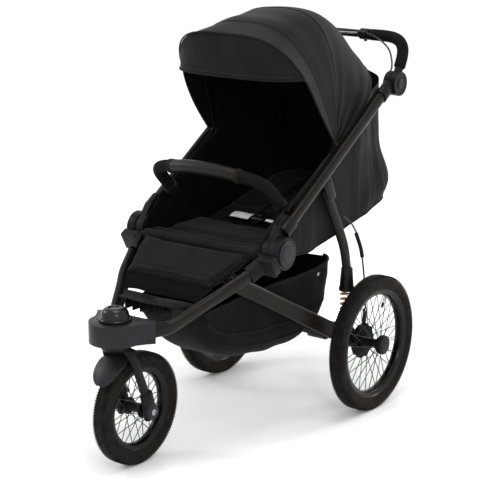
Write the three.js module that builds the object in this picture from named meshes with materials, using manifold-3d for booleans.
// Three-wheeled jogging stroller: folding aluminium frame, spoked air wheels, reclining seat and canopy.
// Millimetres, +Z up. The child faces -Y, and the child's left is +X.
// Everything is placed from the rear axle (y = 0 on the ground below it) inside one group, which is
// then moved along Y so that the origin lies on the ground under the middle of the whole stroller.
import * as THREE from "three";
import { mergeVertices } from "three/addons/utils/BufferGeometryUtils.js";
import Module from "manifold-3d";

const wasm = await Module();
wasm.setup();

// ---------- driving dimensions ----------
const GAP = 0.4; // between pieces that touch

const wheelbase = 731; // rear axle to front axle
const trackHalf = 278; // middle of the stroller to the middle of a rear tyre
const tubeX = 235; // middle of the stroller to the middle of an upper tube

const rearWheel = { radius: 200, width: 46, bead: 15, rimDepth: 12, spokes: 10, hubIn: 22, hubOut: 28 };
const frontWheel = { radius: 155, width: 48, bead: 15, rimDepth: 12, spokes: 8, hubIn: 28, hubOut: 28 };
const axleRadius = 7.5; // rear stub the wheel turns on
const axleTubeRadius = 14; // cross tube between the two axle brackets
const frontAxleRadius = 5;
const spokeRadius = 1.7;
const wheelSegments = 26;

const trail = 77; // steering axis ahead of the front axle
const housingBottom = 362;
const housingHeight = 56;
const noseRadius = 70;
const stemRadius = 12;

const frontTube = { wide: 26, tall: 42 };
const upperTube = { wide: 24, tall: 34 };
const rearLeg = { wide: 22, tall: 46 };
const strutTube = { wide: 20, tall: 34 };

const hub = { y: -410, z: 552 }; // fold axis
const hubRadius = 45;
const hubInnerFace = 208; // the upper casting's disc runs from here...
const hubMiddleFace = 236; // ...to here, and the lower casting's disc starts just outside it
const hubOuterFace = 262;
const coverThickness = 4;

const legPivot = { x: 148, y: -520, z: 485 }; // rear legs on the front cross tube
const legEnd = { x: trackHalf - 54, y: -92, z: rearWheel.radius + 40 }; // swing pivot of the rear axle
const crossTubeRadius = 8;
const strutPivot = { x: 216, y: -150, z: 658 };
const springSeat = { x: trackHalf - 64, y: -42 };
const springTop = rearWheel.radius + 156;
const springBottom = rearWheel.radius + 90;
const armIn = trackHalf - 85; // inner face of the axle's swing brackets
const springRadius = 17;
const springWire = 2.6;
const springTurns = 4;

const upperTubeLow = { y: -372, z: 609.8 };
const upperTubeHigh = { y: 118, z: 924.1 };
const handleJoint = { y: 160, z: 936, radius: 35, inner: 218, middle: 236, outer: 256 };
const buttonRadius = 14;
const buttonTravel = 3;
const handleTubeRadius = 11;
const gripRadius = 16.5;
const gripMiddleX = 112; // the grips end here, and the bare middle carries the brake lever
const handleHeight = 1060;
const handleY = 226;

const canopyPivot = { y: -104, z: 777 };
// The canopy's angles are degrees about its pivots, from straight back and up over the child.
const canopy = { radius: 387, halfWidth: 215, wall: 4, power: 2.9, root: 24 };
const canopyFront = {
  from: 80, bow: 111, to: 125, browRadius: 410, browHalf: 226, browPower: 3.7, browEdge: 996,
  cheek: 12, // how far the front edge bows forwards between the brow's corners and the pivots
};
const canopyRear = { from: 30, to: 85, sag: 26 };
const bowStrip = { thickness: 3, width: 14, gap: 1.6 };

const seat = { front: -400, back: -222, bottom: 526, top: 558, halfWidth: 190 };
const backrestHinge = { y: -215, z: 530 };
// It starts a little way up from its hinge line, so that its edge clears the seat when it is raised.
const backrest = { start: 16, length: 434, halfWidth: 188, thickness: 28, angle: 12.5, headRound: 60 };
const shell = { inner: 199, outer: 203, back: 227, thickness: 3, floor: 521 }; // fabric seat shell
const calfHinge = { y: hub.y + 5 - hubRadius, z: 548, tube: 8 };
const calfTubeEnd = hubInnerFace - GAP;
const calfPad = { length: 168, thickness: 18, slope: 27, topHalf: 194, bottomHalf: 130 };
const bumper = { x: 192, y: -328, z: 652, radius: 17, endRadius: 12, angle: 135, reach: 148, arm: 84 };

// ---------- materials ----------
const material = (color, roughness, metalness = 0) =>
  new THREE.MeshStandardMaterial({ color, roughness, metalness });
const powderCoat = material(0x1d1d1c, 0.45, 0.3);
const blackPlastic = material(0x1f1f21, 0.6);
const satinPlastic = material(0x26262a, 0.45);
const rubber = material(0x24211f, 0.85);
const rimLacquer = material(0x101011, 0.25, 0.4);
const foam = material(0x1b1b1c, 0.9);
const fabric = material(0x18181a, 0.95);
const liner = material(0x101012, 0.95);
const springSteel = material(0xc98a3c, 0.4, 0.5);
const steel = material(0x8c8c8f, 0.3, 0.9);
const cableSleeve = material(0x121213, 0.5);

// ---------- solids ----------
function toSolid(geometry) {
  const bare = geometry.clone();
  bare.deleteAttribute("normal");
  bare.deleteAttribute("uv");
  const merged = mergeVertices(bare, 1e-3);
  return new wasm.Manifold(
    new wasm.Mesh({
      numProp: 3,
      vertProperties: new Float32Array(merged.attributes.position.array),
      triVerts: new Uint32Array(merged.index.array),
    }),
  );
}

function toGeometry(solid) {
  const mesh = solid.getMesh();
  const geometry = new THREE.BufferGeometry();
  geometry.setAttribute("position", new THREE.BufferAttribute(mesh.vertProperties, 3));
  geometry.setIndex(new THREE.BufferAttribute(mesh.triVerts, 1));
  geometry.computeVertexNormals();
  return geometry;
}

const join = (...geometries) =>
  toGeometry(geometries.map(toSolid).reduce((all, next) => all.add(next)));

const cut = (geometry, ...tools) =>
  toGeometry(tools.map(toSolid).reduce((left, tool) => left.subtract(tool), toSolid(geometry)));

const common = (a, b) => toGeometry(toSolid(a).intersect(toSolid(b)));

// A box between two corners.
function block(low, high) {
  const size = high.map((v, i) => v - low[i]);
  return new THREE.BoxGeometry(...size).translate(...low.map((v, i) => v + size[i] / 2));
}

// A cylinder along X from x0 to x1, centred on (y, z).
const barX = (x0, x1, y, z, radius, sides = 20) =>
  new THREE.CylinderGeometry(radius, radius, x1 - x0, sides)
    .rotateZ(Math.PI / 2)
    .translate((x0 + x1) / 2, y, z);

// A cylinder or cone along Z from z0 to z1.
const barZ = (z0, z1, x, y, radius, topRadius = radius, sides = 20) =>
  new THREE.CylinderGeometry(topRadius, radius, z1 - z0, sides)
    .rotateX(Math.PI / 2)
    .translate(x, y, (z0 + z1) / 2);

// A closed outline of [y, z] points, extruded along X from x0 to x1.
function plateYZ(points, x0, x1) {
  const outline = new THREE.Shape(points.map(([y, z]) => new THREE.Vector2(y, z)));
  return new THREE.ExtrudeGeometry(outline, { depth: x1 - x0, bevelEnabled: false })
    .rotateX(Math.PI / 2)
    .rotateZ(Math.PI / 2)
    .translate(x0, 0, 0);
}

// A closed outline of [x, y] points, extruded along Z from z0 to z1.
function plateXY(points, z0, z1) {
  const outline = new THREE.Shape(points.map(([x, y]) => new THREE.Vector2(x, y)));
  return new THREE.ExtrudeGeometry(outline, { depth: z1 - z0, bevelEnabled: false }).translate(0, 0, z0);
}

// A profile of [radius, x] points, closed on itself and turned about the X axis through (y, z).
function turnedX(profile, y, z, segments) {
  const area = profile.reduce((sum, [r, x], i) => {
    const [r2, x2] = profile[(i + 1) % profile.length];
    return sum + (r * x2 - r2 * x);
  }, 0);
  const ring = area > 0 ? profile : [...profile].reverse();
  const points = [...ring, ring[0]].map(([r, x]) => new THREE.Vector2(r, x));
  return new THREE.LatheGeometry(points, segments).rotateZ(-Math.PI / 2).translate(0, y, z);
}

const curve = (points) =>
  new THREE.CatmullRomCurve3(points.map((p) => new THREE.Vector3(...p)), false, "centripetal");

// An oval outline, tall along its first axis.
function ovalOutline(tall, wide, sides, turn = 0) {
  const outline = [];
  for (let i = 0; i < sides; i++) {
    const a = (i / sides) * 2 * Math.PI;
    const p = new THREE.Vector2((tall / 2) * Math.cos(a), (wide / 2) * Math.sin(a));
    outline.push(p.rotateAround(new THREE.Vector2(), turn));
  }
  return outline;
}

// A bar of oval section swept along a curve, its tall side turned towards `tallWay` at the start.
function ovalTube(path, { tall, wide }, tallWay, steps, sides = 10) {
  const frames = path.computeFrenetFrames(steps, false);
  const way = new THREE.Vector3(...tallWay);
  const turn = Math.atan2(way.dot(frames.binormals[0]), way.dot(frames.normals[0]));
  const section = new THREE.Shape(ovalOutline(tall, wide, sides, turn));
  return new THREE.ExtrudeGeometry(section, { steps, extrudePath: path });
}

const roundTube = (path, radius, steps, sides = 10) =>
  ovalTube(path, { tall: 2 * radius, wide: 2 * radius }, [0, 0, 1], steps, sides);

// The same shape on the other side of the stroller.
function mirrored(geometry) {
  const source = geometry.index ? geometry.toNonIndexed() : geometry.clone();
  source.scale(-1, 1, 1);
  const position = source.attributes.position.array;
  for (let i = 0; i < position.length; i += 9) {
    for (let k = 0; k < 3; k++) {
      [position[i + 3 + k], position[i + 6 + k]] = [position[i + 6 + k], position[i + 3 + k]];
    }
  }
  const flipped = new THREE.BufferGeometry();
  flipped.setAttribute("position", new THREE.BufferAttribute(position, 3));
  flipped.computeVertexNormals();
  return flipped;
}

const stroller = new THREE.Group();

function place(name, geometry, finish) {
  const mesh = new THREE.Mesh(geometry, finish);
  mesh.name = name;
  stroller.add(mesh);
  return mesh;
}

function placePair(name, leftGeometry, finish) {
  place(`${name}_left`, leftGeometry, finish);
  place(`${name}_right`, mirrored(leftGeometry), finish);
}

// ---------- wheels ----------
// Air tyre: a rounded section with a flat tread band, cut off where its beads sit on the rim.
// The facets are laid out so that one of them lies flat on the ground.
function tyre({ radius, width, bead }) {
  const half = width / 2;
  const middle = radius - half;
  const profile = [];
  const reach = Math.PI - Math.asin(bead / half);
  for (let i = 0; i < 8; i++) {
    const a = -reach + (i / 7) * 2 * reach;
    const r = Math.abs(i - 3.5) < 1 ? radius : middle + half * Math.cos(a);
    profile.push([r / Math.cos(Math.PI / wheelSegments), half * Math.sin(a)]);
  }
  return turnedX(profile, 0, 0, wheelSegments).rotateX(Math.PI / wheelSegments);
}

// Where the tyre's beads end, measured on the same facets.
const beadRadius = ({ radius, width, bead }) =>
  (radius - width / 2 - Math.sqrt((width / 2) ** 2 - bead ** 2)) / Math.cos(Math.PI / wheelSegments);

// Deep-section rim laced to its hub with crossed spokes, as one rigid unit.
function lacedWheel(wheel, boreRadius) {
  const outer = beadRadius(wheel) - GAP;
  const inner = outer - wheel.rimDepth;
  const rim = turnedX(
    [[outer, -wheel.bead], [outer, wheel.bead], [outer - 5, wheel.bead],
      [inner, wheel.bead - 8], [inner, 8 - wheel.bead], [outer - 5, -wheel.bead]],
    0, 0, wheelSegments,
  ).rotateX(Math.PI / wheelSegments);
  const flange = 23;
  const pieces = [
    rim,
    barX(-wheel.hubIn, wheel.hubOut, 0, 0, boreRadius + 4, 12),
    barX(-wheel.hubIn, -wheel.hubIn + 3, 0, 0, flange, 12),
    barX(wheel.hubOut - 3, wheel.hubOut, 0, 0, flange, 12),
  ];
  const step = (2 * Math.PI) / wheel.spokes;
  for (const side of [-1, 1]) {
    const flangeX = side < 0 ? -wheel.hubIn + 1.5 : wheel.hubOut - 1.5;
    for (let i = 0; i < wheel.spokes; i++) {
      const at = i * step + (side > 0 ? step / 2 : 0);
      const rimAt = at + (i % 2 ? 0.8 : -0.8) * step;
      const start = new THREE.Vector3(flangeX, (flange - 3) * Math.cos(at), (flange - 3) * Math.sin(at));
      const reach = inner + 2;
      const end = new THREE.Vector3(side * 2.5, reach * Math.cos(rimAt), reach * Math.sin(rimAt));
      pieces.push(roundTube(new THREE.LineCurve3(start, end), spokeRadius, 1, 3));
    }
  }
  return cut(join(...pieces), barX(-60, 60, 0, 0, boreRadius, 12));
}

function rearWheels() {
  const at = [trackHalf, 0, rearWheel.radius];
  placePair("rear_tyre", tyre(rearWheel).translate(...at), rubber);
  placePair("rear_rim", lacedWheel(rearWheel, axleRadius + GAP).translate(...at), rimLacquer);
  const capX = trackHalf + rearWheel.hubOut + GAP;
  const cap = cut(
    join(
      barX(capX, capX + 14, 0, rearWheel.radius, 28, 20),
      barX(capX + 14, capX + 18, 0, rearWheel.radius, 23, 20),
    ),
    barX(capX - 1, capX + 12, 0, rearWheel.radius, axleRadius + GAP, 12),
  );
  placePair("wheel_cap", cap, blackPlastic);
}

function frontWheelSet() {
  const at = [0, -wheelbase, frontWheel.radius];
  place("front_tyre", tyre(frontWheel).translate(...at), rubber);
  place("front_rim", lacedWheel(frontWheel, frontAxleRadius + GAP).translate(...at), rimLacquer);
  place("front_axle", barX(-53, 53, -wheelbase, frontWheel.radius, frontAxleRadius, 12), steel);
}

// ---------- front end: fork, housing, lock ----------
const steerY = -wheelbase - trail;
const housingTop = housingBottom + housingHeight;
const housingMiddle = housingBottom + housingHeight / 2;

// Centre line of the left front tube, from the fold hub to the nose housing.
const tubeStart = hubRadius + 7.35;
const frontTubePath = curve([
  [217, hub.y - 0.879 * tubeStart, hub.z - 0.477 * tubeStart],
  [197, -506, 497], [172, -566, 467], [145, -612, 440],
  [121, -655, 415], [98, steerY + 111, housingMiddle + 3], [83, steerY + 78, housingMiddle],
  [72, steerY + 46, housingMiddle],
]);
const frontTubeSteps = 9;

// The space the front tube takes, a gap larger all round and past both ends.
function frontTubeSpace() {
  const wide = frontTube.wide + 2 * GAP;
  const tall = frontTube.tall + 2 * GAP;
  const ends = [0, 1].map((t) => {
    const end = frontTubePath.getPoint(t);
    const out = frontTubePath.getTangent(t).multiplyScalar(t ? 1 : -1);
    const from = end.clone().addScaledVector(out, -2);
    const stub = new THREE.LineCurve3(from, end.clone().addScaledVector(out, GAP));
    return ovalTube(stub, { tall, wide }, [0, 0, 1], 1);
  });
  return join(ovalTube(frontTubePath, { tall, wide }, [0, 0, 1], frontTubeSteps), ...ends);
}

function noseHousing() {
  const outline = [];
  for (let i = 0; i <= 12; i++) {
    const a = Math.PI + (i / 12) * Math.PI;
    outline.push([noseRadius * Math.cos(a), steerY + noseRadius * Math.sin(a)]);
  }
  const rear = [[84, 23], [100, 43], [84, 63], [40, 58]];
  outline.push(...rear.map(([x, y]) => [x, steerY + y]));
  outline.push(...rear.reverse().map(([x, y]) => [-x, steerY + y]));
  const steeringBore = barZ(housingBottom - 5, housingTop + 5, 0, steerY, stemRadius + GAP);
  const tubeSpace = frontTubeSpace();
  const housing = plateXY(outline, housingBottom, housingTop);
  place("front_housing", cut(housing, steeringBore, tubeSpace, mirrored(tubeSpace)), satinPlastic);

  const knobBase = housingTop + GAP;
  const profile = [[0, 0], [43, 0], [43, 8], [38, 14], [36, 24], [28, 35], [17, 36], [14, 32], [0, 32]];
  const dome = new THREE.LatheGeometry(profile.map(([r, h]) => new THREE.Vector2(r, h)), 20)
    .rotateX(Math.PI / 2)
    .translate(0, steerY, knobBase);
  place("lock_knob", dome, blackPlastic);
}

function forkSet() {
  const crownTop = housingBottom - GAP;
  const legX = 46;
  const wheelTop = 2 * frontWheel.radius;
  const leg = ovalTube(
    curve([
      [26, steerY + 2, crownTop - 14], [42, steerY + 8, crownTop - 30], [legX, steerY + 22, wheelTop - 4],
      [legX, -wheelbase - 38, wheelTop - 48], [legX, -wheelbase - 19, wheelTop - 95],
      [legX, -wheelbase - 2, frontWheel.radius + 4],
    ]),
    { tall: 28, wide: 14 }, [0, -1, 0], 6, 8,
  );
  const boss = barX(legX - 8, legX + 12, -wheelbase, frontWheel.radius, 19, 16);
  const rearBoss = join(
    block([-13, steerY + 20, crownTop - 22], [13, steerY + 62, crownTop]),
    barZ(crownTop - 26, crownTop, 0, steerY + 62, 13, 13, 16),
  );
  const whole = join(
    barZ(crownTop - 22, crownTop, 0, steerY, 38, 44, 24),
    barZ(crownTop - 4, housingTop - 1, 0, steerY, stemRadius),
    rearBoss, leg, mirrored(leg), boss, mirrored(boss),
  );
  const bore = barX(-54, 54, -wheelbase, frontWheel.radius, frontAxleRadius + GAP, 12);
  place("fork", cut(whole, bore), blackPlastic);

  // Short mudguard: an arc around the wheel, trimmed to a leaf from above.
  const arc = [];
  const from = THREE.MathUtils.degToRad(101);
  const to = THREE.MathUtils.degToRad(144);
  const fenderRadius = frontWheel.radius + 22;
  const arcPoint = (r, i) => {
    const a = from + (i / 6) * (to - from);
    return [-wheelbase + r * Math.cos(a), frontWheel.radius + r * Math.sin(a)];
  };
  for (let i = 0; i <= 6; i++) arc.push(arcPoint(fenderRadius + 5, i));
  for (let i = 6; i >= 0; i--) arc.push(arcPoint(fenderRadius, i));
  const band = plateYZ(arc, -45, 45);
  const half = [[33, 58], [33, 0], [43, -27], [36, -54], [15, -82]];
  const leafOutline = [...half.map(([x, y]) => [-x, y]), ...half.reverse()];
  const leaf = plateXY(
    leafOutline.map(([x, y]) => [x, steerY + y]), frontWheel.radius + 45, frontWheel.radius + 245,
  );
  place("fender", common(band, leaf), satinPlastic);
}

// ---------- front frame ----------
function frontFrame() {
  const tube = ovalTube(frontTubePath, frontTube, [0, 0, 1], frontTubeSteps);
  const crossBore = barX(0, 190, legPivot.y, legPivot.z, crossTubeRadius + GAP, 12);
  placePair("front_tube", cut(tube, crossBore), powderCoat);
  place("front_cross_tube", barX(-184, 184, legPivot.y, legPivot.z, crossTubeRadius, 12), powderCoat);

  // Lower fold casting: the outer disc, and a socket that takes the end of the front tube.
  const socketPath = new THREE.LineCurve3(
    new THREE.Vector3(221, hub.y + 9 - hubRadius, hub.z - 19), new THREE.Vector3(200, -498, 501.5),
  );
  const socket = ovalTube(socketPath, { tall: 52, wide: 36 }, [0, 0, 1], 1);
  const bridge = block([212, -25, -26], [hubOuterFace, 0, 26])
    .translate(0, -(hubRadius - 2), 0)
    .rotateX(THREE.MathUtils.degToRad(28))
    .translate(0, hub.y, hub.z);
  const disc = barX(hubMiddleFace + GAP, hubOuterFace, hub.y, hub.z, hubRadius, 24);
  const discSpace = barX(hubInnerFace - 9, hubMiddleFace + GAP, hub.y, hub.z, hubRadius - 1.5, 24);
  const calfTubeSpace = barX(0, calfTubeEnd + GAP, calfHinge.y, calfHinge.z, calfHinge.tube + GAP, 12);
  const casting = cut(join(disc, bridge, socket), discSpace, frontTubeSpace(), calfTubeSpace);
  placePair("fold_hub", casting, satinPlastic);
  const seatTube = barX(-calfTubeEnd, calfTubeEnd, calfHinge.y, calfHinge.z, calfHinge.tube, 12);
  place("seat_front_tube", seatTube, powderCoat);
  const coverX = hubOuterFace + GAP;
  placePair("hub_cover", join(
    barX(coverX, coverX + coverThickness, hub.y, hub.z, 36, 24),
    barX(coverX + coverThickness - 1, coverX + coverThickness + 1.5, hub.y, hub.z, 26, 20),
  ), blackPlastic);

  // Moulded foot plate between the front tubes, stiffened by ribs underneath.
  const outline = [[-121, -622], [-91, -680], [-50, -690], [0, -693], [50, -690], [91, -680], [121, -622]];
  const ribs = [];
  for (let x = -78; x <= 78; x += 26) {
    ribs.push(block([x - 2, -682 + Math.abs(x) * 0.06, 398], [x + 2, -628, 430]));
  }
  place("footplate", join(plateXY(outline, 428, 437), ...ribs), blackPlastic);
}

// ---------- shopping basket ----------
// Half the width of the basket at y: it stays inside the rear legs, which spread towards the rear.
function basketHalf(y) {
  const legX = legPivot.x + ((legEnd.x - legPivot.x) * (y - legPivot.y)) / (legEnd.y - legPivot.y);
  return Math.min(192, Math.max(124, legX - rearLeg.wide / 2 - 6));
}

function basket() {
  const profile = [[-586, 398], [-556, 322], [-500, 256], [-400, 224], [-250, 214], [-170, 222],
    [-112, 256], [-64, 400], [-74, 462], [-240, 440], [-460, 424]];
  const plan = (inset) => {
    const ys = [-600, -520, -240, -50];
    const right = ys.map((y) => [basketHalf(y) - inset, y]);
    const left = ys.map((y) => [-basketHalf(y) + inset, y]).reverse();
    return plateXY([...right, ...left], 150, 520);
  };
  const wall = 4;
  const outer = common(plateYZ(profile, -200, 200), plan(0));
  const hollow = profile.map(([y, z]) => {
    const cy = -330;
    const cz = 330;
    return z > 395
      ? [cy + (y - cy) * 0.985, z + 40]
      : [cy + (y - cy) * 0.983, cz + (z - cz) * (1 - wall / 110)];
  });
  place("basket", cut(outer, common(plateYZ(hollow, -200, 200), plan(wall))), fabric);
}

// ---------- rear frame ----------
function rearFrame() {
  const pivot = new THREE.Vector3(legPivot.x, legPivot.y, legPivot.z);
  const end = new THREE.Vector3(legEnd.x, legEnd.y, legEnd.z);
  const down = end.clone().sub(pivot).normalize();
  const neck = pivot.clone().addScaledVector(down, 34);
  const pivotBoss = barX(legPivot.x - 11, legPivot.x + 11, legPivot.y, legPivot.z, 14, 16);
  const tang = plateYZ(
    [[legPivot.y - 2, legPivot.z - 14], [neck.y + 2, neck.z - 20], [neck.y + 10, neck.z + 14],
      [legPivot.y + 6, legPivot.z + 12]],
    legPivot.x - 9, legPivot.x + 11,
  );
  const endBoss = barX(legEnd.x - 11, legEnd.x + 11, legEnd.y, legEnd.z, 23);
  const leg = cut(
    join(ovalTube(new THREE.LineCurve3(neck, end), rearLeg, [0, 0, 1], 1, 12), pivotBoss, tang, endBoss),
    barX(legPivot.x - 40, legPivot.x + 40, legPivot.y, legPivot.z, crossTubeRadius + GAP, 12),
    barX(legEnd.x - 12, legEnd.x + 12, legEnd.y, legEnd.z, 6 + GAP, 12),
  );
  placePair("rear_leg", leg, powderCoat);

  const stubEnd = trackHalf + rearWheel.hubOut + 11;
  place("rear_axle", join(
    barX(-armIn - 38, armIn + 38, 0, rearWheel.radius, axleTubeRadius, 18),
    barX(-stubEnd, stubEnd, 0, rearWheel.radius, axleRadius, 16),
  ), powderCoat);

  // Swing bracket: an arm from the leg pivot to the axle, with the seat of the suspension spring.
  const arm = plateYZ(
    [[legEnd.y - 14, legEnd.z - 14], [-12, rearWheel.radius - 22], [20, rearWheel.radius - 8],
      [18, rearWheel.radius + 18],
      [-24, springBottom - 22], [-62, springBottom - 22], [legEnd.y - 4, legEnd.z + 17]],
    armIn, armIn + 16,
  );
  const bracket = cut(
    join(
      arm,
      barX(armIn, armIn + 38, 0, rearWheel.radius, 24),
      barX(armIn, legEnd.x + 8, legEnd.y, legEnd.z, 6, 12),
      barZ(springBottom - 28, springBottom - GAP, springSeat.x, springSeat.y, 22, 22),
    ),
    barX(armIn - 13, armIn + 47, 0, rearWheel.radius, axleTubeRadius + GAP, 18),
  );
  placePair("axle_bracket", bracket, satinPlastic);

  // Drum brake with its cable arm.
  const drumIn = armIn + 40;
  const drumOut = drumIn + 19;
  const cableArm = [[10, 20], [42, 28], [26, 90], [18, 90]].map(([y, z]) => [y, rearWheel.radius + z]);
  const teeth = [];
  for (let i = 0; i < 10; i++) {
    const a = (i / 10) * 2 * Math.PI;
    const tooth = block([drumIn + 5, -6, 44], [drumOut, 6, 52]).rotateX(a);
    teeth.push(tooth.translate(0, 0, rearWheel.radius));
  }
  const drum = cut(
    join(
      barX(drumIn, drumOut, 0, rearWheel.radius, 48, 20),
      ...teeth,
      plateYZ(cableArm, drumIn + 1, drumIn + 7),
    ),
    barX(drumIn - 3, drumOut + 4, 0, rearWheel.radius, axleRadius + GAP, 16),
  );
  placePair("brake_drum", drum, blackPlastic);

  // Suspension spring.
  const turns = [];
  const steps = springTurns * 9;
  const height = springTop - springBottom - 2 * springWire - 2 * GAP;
  for (let i = 0; i <= steps; i++) {
    const a = (i / steps) * springTurns * 2 * Math.PI;
    turns.push([
      springSeat.x + springRadius * Math.cos(a),
      springSeat.y + springRadius * Math.sin(a),
      springBottom + GAP + springWire + (i / steps) * height,
    ]);
  }
  placePair("spring", roundTube(curve(turns), springWire, steps, 4), springSteel);

  // Foot brake pedal, clipped round the axle tube.
  const pedal = cut(
    join(
      barX(60, 120, 0, rearWheel.radius, axleTubeRadius + 7, 18),
      block([64, 10, rearWheel.radius + 2], [116, 74, rearWheel.radius + 12]),
    ),
    barX(50, 130, 0, rearWheel.radius, axleTubeRadius + GAP, 18),
  );
  place("brake_pedal", pedal, satinPlastic);
}

function struts() {
  const x = strutPivot.x;
  const path = curve([
    [x, strutPivot.y - 7, strutPivot.z + 13], [x, -112, 588], [x, -66, 500],
    [(x + springSeat.x) / 2, springSeat.y - 5, springTop + 80],
    [springSeat.x, springSeat.y, springTop + 44],
  ]);
  const foot = join(
    barZ(springTop + GAP, springTop + 14, springSeat.x, springSeat.y, 23, 21, 16),
    barZ(springTop + 13, springTop + 68, springSeat.x, springSeat.y, 20, 17, 16),
  );
  const strut = cut(
    join(ovalTube(path, strutTube, [0, 1, 0.3], 7), foot),
    barX(x - 30, x + 30, strutPivot.y, strutPivot.z, 5 + GAP, 12),
  );
  placePair("strut", strut, powderCoat);
}

// Brake cable from the back of the strut to the arm of the drum.
function rearCables() {
  const top = strutPivot.x + 18;
  const low = trackHalf - 40;
  const cable = roundTube(
    curve([[top, -96, 590], [top + 6, -58, 560], [top + 9, -20, 500], [low + 5, -2, springTop + 74],
      [low + 4, 10, springTop + 14], [low + 2, 20, springBottom + 20], [low, 22, springBottom + 0.5]]),
    2.6, 12, 6,
  );
  const adjuster = roundTube(
    curve([[top + 7, -40, 532], [top + 9, -14, 480], [(top + low) / 2 + 7, -6, springTop + 96]]), 6, 3, 8,
  );
  placePair("brake_cable", join(cable, adjuster), cableSleeve);
}

// ---------- upper frame ----------
function upperFrame() {
  const low = new THREE.Vector3(tubeX, upperTubeLow.y, upperTubeLow.z);
  const high = new THREE.Vector3(tubeX, upperTubeHigh.y, upperTubeHigh.z);
  const line = new THREE.LineCurve3(low, high);
  const length = line.getLength();
  const along = high.clone().sub(low).normalize();
  const at = (s) => low.clone().addScaledVector(along, s);
  // The strut hangs on a riveted ear behind the tube, and the canopy on a disc inside it.
  const earOutline = [[-214, 700], [-176, 724], [-128, 655], [-148, 638], [-166, 646]];
  const ear = plateYZ(earOutline, strutPivot.x + 11.5, tubeX + 2);
  const pin = barX(strutPivot.x - 9, tubeX, strutPivot.y, strutPivot.z, 5, 12);
  const disc = barX(canopy.halfWidth + 1, tubeX, canopyPivot.y, canopyPivot.z, 17, 18);
  const canopyPin = barX(shell.outer + 2, tubeX, canopyPivot.y, canopyPivot.z, 5, 12);
  const tube = ovalTube(line, upperTube, [0, -1, 1], 1, 12);
  placePair("upper_tube", join(tube, ear, pin, disc, canopyPin), powderCoat);

  const clearance = ovalTube(
    new THREE.LineCurve3(at(-GAP), at(1000)),
    { tall: upperTube.tall + 2 * GAP, wide: upperTube.wide + 2 * GAP }, [0, -1, 1], 1, 12,
  );
  // Upper fold casting: the inner disc and a sleeve on the tube.
  const rel = (y, z) => [hub.y + y, hub.z + z];
  const collar = cut(
    join(
      barX(hubInnerFace, hubMiddleFace - GAP, hub.y, hub.z, hubRadius - 3, 24),
      plateYZ([rel(-24, 30), rel(8, 72), rel(48, 34), rel(38, 10)], 214, hubMiddleFace - GAP),
      ovalTube(new THREE.LineCurve3(at(hubRadius - 63), at(28)), { tall: 44, wide: 33 }, [0, -1, 1], 1, 12),
    ),
    clearance,
  );
  placePair("upper_collar", collar, blackPlastic);

  const joint = cut(
    join(
      barX(handleJoint.inner, handleJoint.middle - GAP, handleJoint.y, handleJoint.z,
        handleJoint.radius, 24),
      ovalTube(
        new THREE.LineCurve3(at(length - 34), at(length + 14)), { tall: 44, wide: 33 }, [0, -1, 1], 1, 12,
      ),
    ),
    ovalTube(new THREE.LineCurve3(at(0), at(length + GAP)),
      { tall: upperTube.tall + 2 * GAP, wide: upperTube.wide + 2 * GAP }, [0, -1, 1], 1, 12),
    barX(handleJoint.middle - GAP, handleJoint.outer + 20, handleJoint.y, handleJoint.z,
      handleJoint.radius + 1.5, 24),
  );
  placePair("handle_joint", joint, satinPlastic);
}

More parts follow.
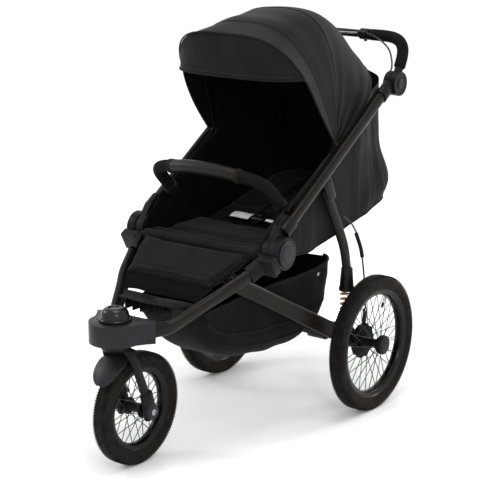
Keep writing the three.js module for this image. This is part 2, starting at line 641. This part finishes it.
// ---------- handle ----------
function handle() {
  const { y, z, radius, middle, outer } = handleJoint;
  const halfBar = [
    [tubeX, y + 6, z + 12], [tubeX, 187, 980], [tubeX - 1, 202, 1008], [229, 212, 1030], [214, 220, 1048],
    [190, 225, 1057], [160, handleY, handleHeight],
  ];
  const otherHalf = halfBar.map(([px, py, pz]) => [-px, py, pz]).reverse();
  const bareSpan = [[80, handleY, handleHeight], [-80, handleY, handleHeight]];
  const barPath = curve([...halfBar, ...bareSpan, ...otherHalf]);
  const bar = (radiusOfBar) => roundTube(barPath, radiusOfBar, 28, 8);
  const disc = barX(middle + GAP, outer, y, z, radius, 24);
  const lug = block([middle + 2, y, z + 10], [outer - 2, y + 26, z + 34]);
  const clampX = 92;
  const mount = join(
    barX(clampX - 16, clampX + 16, handleY, handleHeight, handleTubeRadius + 5, 12),
    block([clampX - 12, handleY - 30, handleHeight - 2], [clampX + 12, handleY, handleHeight + 11]),
  );
  const leverSlot = block(
    [clampX - 20, handleY - 32, handleHeight + 1], [clampX + 5, handleY - 15, handleHeight + 8],
  );
  const recess = barX(outer - 6, outer + 5, y, z, buttonRadius + GAP, 16);
  const jointSpace = barX(handleJoint.inner - 10, middle + GAP, y, z, radius + 1.5, 24);
  const left = join(disc, lug);
  place("handle_bar", cut(
    join(bar(handleTubeRadius), left, mirrored(left), mount),
    recess, mirrored(recess), jointSpace, mirrored(jointSpace), leverSlot,
  ), powderCoat);

  const gripPath = curve(halfBar.slice(1).concat([[gripMiddleX + 8, handleY, handleHeight]]));
  const grip = roundTube(gripPath, gripRadius, 9, 10);
  const discSpace = barX(middle - 40, outer + 10, y, z, radius + 4, 24);
  placePair("grip", cut(grip, bar(handleTubeRadius + GAP), discSpace), foam);
  const button = barX(outer - 6 + buttonTravel, outer + buttonTravel - 0.5, y, z, buttonRadius, 16);
  placePair("handle_button", button, satinPlastic);

  // Hand brake lever: hinged in the clamp and reaching in front of the bar towards its middle.
  const lever = plateXY(
    [[96, handleY - 26], [96, handleY - 19], [74, handleY - 19], [40, handleY - 27], [-30, handleY - 27],
      [-48, handleY - 32], [-48, handleY - 38], [-28, handleY - 34], [42, handleY - 34], [72, handleY - 27]],
    handleHeight + 1 + GAP, handleHeight + 8 - GAP,
  );
  place("brake_lever", cut(lever, barZ(handleHeight - 5, handleHeight + 20, 86, handleY - 22.5, 2)), steel);

  const cable = roundTube(
    curve([[109, handleY - 21, 1066], [134, handleY - 22, 1060], [165, handleY - 24, 1046],
      [192, 198, 1024], [209, 186, 996], [214, 178, 976], [214, 173, 970]]),
    2.6, 12, 6,
  );
  place("brake_cable_upper", cable, cableSleeve);
}

// ---------- canopy ----------
// A closed sheet between two layers of points. Each layer is a list of rows of equal length.
function sheetSolid(outer, inner) {
  const rows = outer.length;
  const row = outer[0].length;
  const back = rows * row;
  const index = [];
  const quad = (a, b, c, d) => index.push(a, b, c, a, c, d);
  for (let i = 0; i + 1 < rows; i++) {
    const first = i * row;
    for (let a = first; a + 1 < first + row; a++) {
      quad(a, a + 1, a + row + 1, a + row);
      quad(back + a, back + a + row, back + a + row + 1, back + a + 1);
    }
    const last = first + row - 1;
    quad(first, first + row, back + first + row, back + first);
    quad(last, back + last, back + last + row, last + row);
  }
  for (let j = 0; j + 1 < row; j++) {
    quad(j, back + j, back + j + 1, j + 1);
    const a = (rows - 1) * row + j;
    quad(a, a + 1, back + a + 1, back + a);
  }
  const geometry = new THREE.BufferGeometry();
  const points = [...outer, ...inner].flat(2);
  geometry.setAttribute("position", new THREE.BufferAttribute(new Float32Array(points), 3));
  geometry.setIndex(index);
  return toSolid(geometry).volume() > 0 ? geometry : mirrored(geometry);
}

// Points of a bow: a flattened arch of height r and half-width w, standing at an angle about the
// canopy's pivots. The arch starts and ends `canopy.root` short of the pivot line.
function bowPoints(deg, r, w, power = canopy.power, across = 14) {
  const turn = THREE.MathUtils.degToRad(deg);
  const start = Math.asin((canopy.root / r) ** (power / 2));
  const points = [];
  for (let j = 0; j <= across; j++) {
    const t = start + ((Math.PI - 2 * start) * j) / across;
    const rho = r * Math.sin(t) ** (2 / power);
    points.push([
      Math.sign(Math.cos(t)) * w * Math.abs(Math.cos(t)) ** (2 / power),
      canopyPivot.y + rho * Math.cos(turn),
      canopyPivot.z + rho * Math.sin(turn),
    ]);
  }
  return points;
}

function canopySet() {
  // Front half: straight to the seam over the bow, then flared out into the brow.
  const { from, bow, to, browRadius, browHalf, browPower, browEdge, cheek } = canopyFront;
  const flare = (deg) => Math.max(0, (deg - bow) / (to - bow)) ** 1.4;
  const bowed = (z) => {
    const down = (browEdge - z) / (browEdge - canopyPivot.z);
    return cheek * Math.sin(Math.PI * Math.min(1, Math.max(0, down)));
  };
  const frontBow = (inset) => (deg) =>
    bowPoints(
      deg,
      canopy.radius + (browRadius - canopy.radius) * flare(deg) - inset,
      canopy.halfWidth + (browHalf - canopy.halfWidth) * flare(deg) - inset,
      canopy.power + (browPower - canopy.power) * flare(deg),
    ).map(([x, y, z]) => [x, y - bowed(z) * flare(deg), z]);
  const angles = [from, 90, 101, bow, 116, 120, to];
  const skin = sheetSolid(angles.map(frontBow(0)), angles.map(frontBow(canopy.wall)));
  // The brow's face drops from the last arch to a straight edge between its corners.
  const dropped = (points, back) => points.map(([x, y, z]) => [x, y + back, Math.min(z - 1, browEdge)]);
  const rim = frontBow(0)(to).filter(([, , z]) => z > browEdge + 2);
  const backed = rim.map(([x, y, z]) => [x, y + canopy.wall, z]);
  const face = sheetSolid([rim, dropped(rim, 0)], [backed, dropped(rim, canopy.wall)]);
  place("canopy_front", join(skin, face), fabric);

  const bowRadius = canopy.radius - canopy.wall - bowStrip.gap;
  const bowHalf = canopy.halfWidth - canopy.wall - bowStrip.gap;
  const bowSpan = THREE.MathUtils.radToDeg(bowStrip.width / canopy.radius);
  const strip = (inset) =>
    [bow - bowSpan, bow].map((deg) => bowPoints(deg, bowRadius - inset, bowHalf - inset));
  const arch = sheetSolid(strip(0), strip(bowStrip.thickness));
  const eye = barX(bowHalf - bowStrip.thickness, bowHalf, 0, 0, 13, 16);
  const stalk = block([bowHalf - bowStrip.thickness, 5, -6], [bowHalf, 60, 6])
    .rotateX(THREE.MathUtils.degToRad(bow - bowSpan / 2));
  const root = cut(join(eye, stalk), barX(150, 250, 0, 0, 5 + GAP, 12))
    .translate(0, canopyPivot.y, canopyPivot.z);
  place("canopy_bow", join(arch, root, mirrored(root)), blackPlastic);

  // Rear half: it sags between its front bow and the bar above the back of the seat.
  const rearRadius = bowRadius - bowStrip.thickness - GAP;
  const rearHalf = bowHalf - bowStrip.thickness - GAP;
  const sag = (deg) => {
    const t = (canopyRear.to - deg) / (canopyRear.to - canopyRear.from);
    return canopyRear.sag * Math.sin(Math.PI * Math.min(1, t * 1.15)) ** 2;
  };
  const rearBow = (inset) => (deg) => bowPoints(deg, rearRadius - sag(deg) - inset, rearHalf - inset);
  const rearAngles = [canopyRear.from, 39, 49, 60, 72, canopyRear.to];
  place("canopy_rear", sheetSolid(rearAngles.map(rearBow(0)), rearAngles.map(rearBow(3))), fabric);
}

// ---------- seat ----------
function seatSet() {
  const cushion = block(
    [-seat.halfWidth, seat.front, seat.bottom], [seat.halfWidth, seat.back, seat.top],
  );
  place("seat_pad", cushion, fabric);

  const head = backrest.length;
  const half = backrest.halfWidth;
  const round = backrest.headRound;
  const foot = backrest.start;
  const outline = [[-half, foot], [half, foot], [half, head - round],
    [half - round * 0.3, head - round * 0.3], [half - round, head], [round - half, head],
    [round * 0.3 - half, head - round * 0.3], [-half, head - round]];
  const pad = plateXY(outline, -backrest.thickness / 2, backrest.thickness / 2)
    .rotateX(THREE.MathUtils.degToRad(backrest.angle))
    .translate(0, backrestHinge.y, backrestHinge.z);
  place("backrest_pad", pad, fabric);

  // Fabric seat shell: two sides hung from the upper tubes, a floor under the seat and a back curtain.
  const side = plateYZ(
    [[-398, shell.floor], [-215, 508], [214, 596], [shell.back, 640], [shell.back, 946],
      [196, 930], [132, 900],
      [-104, 767], [-140, 764], [-300, 662], [-312, 630], [-398, 588]],
    shell.inner, shell.outer,
  );
  const hem = block([shell.inner, 0, -3], [tubeX - upperTube.wide / 2 - GAP, 190, 3])
    .rotateX(Math.atan2(upperTubeHigh.z - upperTubeLow.z, upperTubeHigh.y - upperTubeLow.y))
    .translate(0, -304, 653);
  const floor = block([-shell.outer, -398, shell.floor], [shell.outer, -232, seat.bottom - GAP]);
  const backPanel = block(
    [-shell.outer, shell.back - shell.thickness, 645], [shell.outer, shell.back, 946],
  );
  place("seat_shell", join(side, mirrored(side), hem, mirrored(hem), floor, backPanel), liner);

  // Calf pad: it narrows between the front tubes and hangs on the front seat tube by a tunnel.
  const { length, thickness, topHalf, bottomHalf } = calfPad;
  const calfOutline = [[-topHalf, 0], [-topHalf + 16, -60], [-bottomHalf - 22, -122],
    [-bottomHalf, -length], [bottomHalf, -length], [bottomHalf + 22, -122], [topHalf - 16, -60],
    [topHalf, 0]];
  const leaf = plateXY(calfOutline, -thickness / 2, thickness / 2)
    .rotateX(THREE.MathUtils.degToRad(calfPad.slope));
  const tunnel = barX(-topHalf, topHalf, 0, 0, calfHinge.tube + 4, 16);
  const calf = cut(join(leaf, tunnel), barX(-topHalf - 1, topHalf + 1, 0, 0, calfHinge.tube + GAP, 12));
  place("calf_pad", calf.translate(0, calfHinge.y, calfHinge.z), fabric);

  // Five-point harness lying on the backrest: two shoulder straps, a lap belt and the buckle.
  const straps = join(
    block([-70, 34, 0], [-40, 350, 5]), block([40, 34, 0], [70, 350, 5]),
    block([-120, foot + 12, 0], [120, 62, 6]), block([-24, foot + 11, 0], [24, 78, 14]),
  )
    .translate(0, 0, backrest.thickness / 2 + GAP)
    .rotateX(THREE.MathUtils.degToRad(backrest.angle))
    .translate(0, backrestHinge.y, backrestHinge.z);
  place("harness", straps, liner);
}

// ---------- bumper bar ----------
function bumperBar() {
  const { x, arm, reach, radius, endRadius } = bumper;
  // Laid out flat: u runs across the stroller and v away from the pivots, then tilted.
  const half = [[x, 16], [x, arm * 0.55], [x - 1, arm], [x - 22, arm + 34], [x - 72, reach - 14],
    [x - 130, reach - 3]];
  const flat = [...half, [0, reach], ...half.map(([u, v]) => [-u, v]).reverse()];
  const bar = roundTube(curve(flat.map(([u, v]) => [u, v, 0])), radius, 18, 8);
  const end = join(
    barX(x - 12, tubeX - upperTube.wide / 2 - GAP, 0, 0, endRadius, 16),
    new THREE.CylinderGeometry(endRadius, endRadius, 34, 12).translate(x, 12, 0),
  );
  const whole = join(bar, end, mirrored(end))
    .rotateX(THREE.MathUtils.degToRad(bumper.angle))
    .translate(0, bumper.y, bumper.z);
  place("bumper_bar", whole, foam);
}

rearWheels();
frontWheelSet();
noseHousing();
forkSet();
frontFrame();
basket();
rearFrame();
struts();
rearCables();
upperFrame();
handle();
canopySet();
seatSet();
bumperBar();

// The origin is on the ground under the middle of the stroller's length.
const frontMost = -wheelbase - frontWheel.radius / Math.cos(Math.PI / wheelSegments);
const rearMost = handleY + gripRadius;
stroller.position.y = -(frontMost + rearMost) / 2;

export default stroller;
